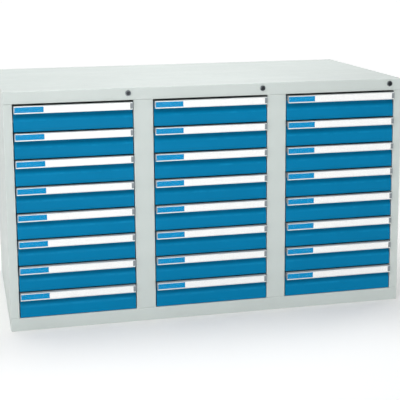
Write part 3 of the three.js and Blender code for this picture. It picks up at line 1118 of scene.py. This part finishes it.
# The card starts against the left cap's plate, and the right cap has a lug.
CARD_FROM, CARD_TO, BLUE_TO = -214.6, 206.6, -109.4
v1, f1 = bent_slab(CARD_FROM + 0.2, CARD_TO - 0.2, -24.0, -3.4, -15.12, -15.34, 0.03)
v2, f2 = bent_slab(CARD_FROM + 0.5, BLUE_TO, -23.9, -3.5, -15.36, -15.58, 0.03)
verts, faces = joined([(v1, f1), (v2, f2)])
label_mesh = mesh_of("label_card", verts, faces, [0] * len(f1) + [1] * len(f2))
closed_up(label_mesh)
label_mesh.materials.append(card_white)
label_mesh.materials.append(card_blue)
label_mesh = settle(label_mesh, [], smooth=40, flat=3)
v, f = bent_slab(CARD_FROM + 0.1, CARD_TO - 0.1, -24.12, -3.28, -15.66, -15.98, 0.14, 10)
window_mesh = mesh_of("label_window", v, f)
closed_up(window_mesh)
window_mesh = settle(window_mesh, [], smooth=40, flat=3)


def end_caps():
    """The two moulded ends of a handle rail: a plate over the section, with a lug in the label groove at the right."""
    silhouette = [
        (5.7, -1.1, 0.8),
        (-16.0, -1.0, 1.2),
        (-16.0, -28.0, 1.7),
        (-11.4, -28.0, 0.6),
        (-8.0, -22.0, 2.0),
        (-1.0, -18.2, 2.0),
        (5.7, -18.2, 0.6),
    ]
    outline = rounded(silhouette, 4)
    plates = []
    for s in (-1, 1):
        v, f = sweep_x(outline, s * 215.25, s * 217.0, closed=True)
        plates.append((v, f))
        if s > 0:
            lug = rounded([(-15.15, -3.4, 0.1), (-15.15, -24.0, 0.1), (-15.98, -24.0, 0.3), (-15.98, -3.4, 0.3)], 2)
            v, f = sweep_x(lug, CARD_TO + 0.15, 215.2, closed=True)
            plates.append((v, f))
    verts, faces = joined(plates)
    me = mesh_of("rail_caps", verts, faces)
    closed_up(me)
    weigh(me, lambda mid, way, angle: 0.35 if abs(way.x) < 0.5 and abs(mid.x) > 216.5 else 0.0, 0.35)
    return settle(me, [bevelled(0.35, 2)], smooth=40, flat=3)


caps_mesh = end_caps()

for letter, x in zip(COLUMNS, column_x):
    for r in range(8):
        tag = letter + str(r + 1)
        body = "drawer_" + tag
        at = (x, 0.0, row_z[r])
        add("front_" + tag, front_mesh, body, blue_paint, at, ["drawer_" + tag])
        add("tray_" + tag, tray_mesh, body, tray_paint, at)
        add("rail_" + tag, rail_mesh, body, rail_metal, at, ["handle_rail_" + tag])
        add("label_" + tag, label_mesh, body, None, at)
        add("window_" + tag, window_mesh, body, window_clear, at)
        add("caps_" + tag, caps_mesh, body, cap_plastic, at)

# ---------------------------------------------------------------- stage
ground = bpy.data.meshes.new("ground")
ground.from_pydata([(-30, -30, 0), (30, -30, 0), (30, 30, 0), (-30, 30, 0)], [], [[0, 1, 2, 3]])
ground_ob = bpy.data.objects.new("ground", ground)
scene.collection.objects.link(ground_ob)
g = Nodes("ground")
g.set(Metallic=0.0, Specular_IOR_Level=0.1, Roughness=0.9)
soft = g.noise(0.8, 2.0, 0.5)
base = g.mix((soft, "Fac"), (0.825, 0.825, 0.82), (0.855, 0.855, 0.85))
g.link_mix(base, "Base Color")
# far from the lamps it glows a little, so that it runs into the backdrop
away = g.add("ShaderNodeVectorMath", operation="LENGTH")
g.link(g.coord, "Object", away, 0)
glow = g.ramp(away, "Value", 1.3, 7.5, 0.15, 0.67)
glow.interpolation_type = "SMOOTHSTEP"
g.set(Emission_Color=(1.0, 1.0, 1.0, 1.0))
g.link(glow, "Result", g.bsdf, "Emission Strength")
ground.materials.append(g.material)

# ---------------------------------------------------------------- light
world = bpy.data.worlds.new("studio")
scene.world = world
world.use_nodes = True
background = world.node_tree.nodes["Background"]
background.inputs["Color"].default_value = (1.0, 1.0, 1.0, 1.0)
# paler at the horizon than overhead
where = world.node_tree.nodes.new("ShaderNodeTexCoord")
parts = world.node_tree.nodes.new("ShaderNodeSeparateXYZ")
fade = world.node_tree.nodes.new("ShaderNodeMapRange")
fade.interpolation_type = "SMOOTHSTEP"
for k, v in zip(("From Min", "From Max", "To Min", "To Max"), (0.09, 0.46, 1.02, 0.34)):
    fade.inputs[k].default_value = v
world.node_tree.links.new(where.outputs["Generated"], parts.inputs["Vector"])
world.node_tree.links.new(parts.outputs["Z"], fade.inputs["Value"])
world.node_tree.links.new(fade.outputs["Result"], background.inputs["Strength"])


def softbox(name, at, aim, size, power, colour=(1, 1, 1)):
    d = bpy.data.lights.new(name, "AREA")
    d.shape, d.size, d.size_y = "RECTANGLE", size[0], size[1]
    d.energy, d.color = power, colour
    ob = bpy.data.objects.new(name, d)
    scene.collection.objects.link(ob)
    ob.location = at
    ob.rotation_mode = "QUATERNION"
    ob.rotation_quaternion = (Vector(at) - Vector(aim)).to_track_quat("Z", "Y")
    return ob


softbox("key", (-2.0, -3.2, 3.5), (-0.1, 0, 0.6), (2.2, 1.4), 50)
softbox("over", (-0.35, 0.6, 4.2), (-0.2, 0.3, 0.9), (3.0, 2.0), 101)
softbox("left", (-4.2, -0.6, 2.2), (-0.7, 0, 0.5), (2.0, 2.0), 18)
softbox("low", (-0.4, -4.2, 0.45), (0, -0.4, 0.1), (3.0, 0.6), 31)
softbox("right", (2.7, 1.1, 2.3), (0.77, 0.1, 0.5), (1.2, 1.2), 8)
softbox("back", (0.9, 3.0, 3.1), (-0.1, 0.4, 0.4), (1.6, 1.2), 15)

scene.view_settings.view_transform = "Standard"
scene.view_settings.look = "None"

# ---------------------------------------------------------------- camera
cam_data = bpy.data.cameras.new("camera")
cam = bpy.data.objects.new("camera", cam_data)
scene.collection.objects.link(cam)
cam_data.sensor_fit = "HORIZONTAL"
cam_data.sensor_width = 36.0
cam_data.lens = CAMERA["lens"]
cam_data.shift_x, cam_data.shift_y = 0.0, CAMERA["shift"]
cam_data.clip_start, cam_data.clip_end = 0.05, 100.0
right, down, forward = CAMERA["axes"]
m = Matrix((Vector(right), -Vector(down), -Vector(forward))).transposed()
cam.rotation_mode = "QUATERNION"
cam.rotation_quaternion = m.to_quaternion()
cam.location = CAMERA["at"]
scene.camera = cam
